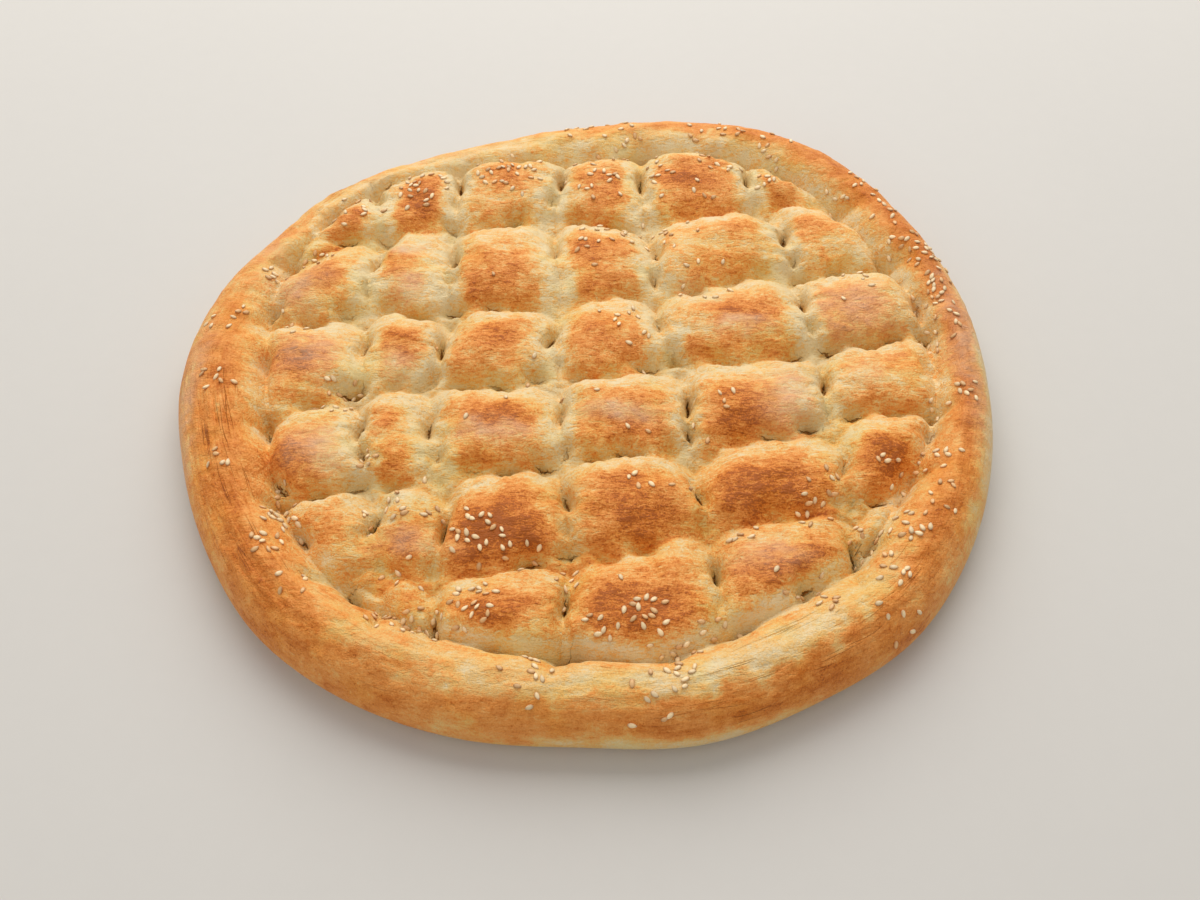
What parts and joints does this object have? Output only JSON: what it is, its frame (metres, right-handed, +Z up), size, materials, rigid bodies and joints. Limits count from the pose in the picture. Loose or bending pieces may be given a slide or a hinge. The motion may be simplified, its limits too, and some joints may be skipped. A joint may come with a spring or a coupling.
{
  "type": "turkish bread",
  "caption": "Flat, roughly round leavened loaf with a plump rim, a quilt of pillows between finger grooves, and sesame seeds on its browned crust; rests on its flat base.",
  "frame": {"origin": "bottom centre of the loaf's box, on the flat base it rests on", "axes": "+X along the rows of pillows, to the right as pictured; +Y to the back, away from the viewer; +Z up out of the quilted crust"},
  "size_m": [0.3004, 0.2937, 0.0267],
  "materials": {
    "crust": "matte baked crust",
    "sesame": "satin hulled sesame seed"
  },
  "bodies": {
    "root": {"bread": "crust"}
  },
  "joints": []
}
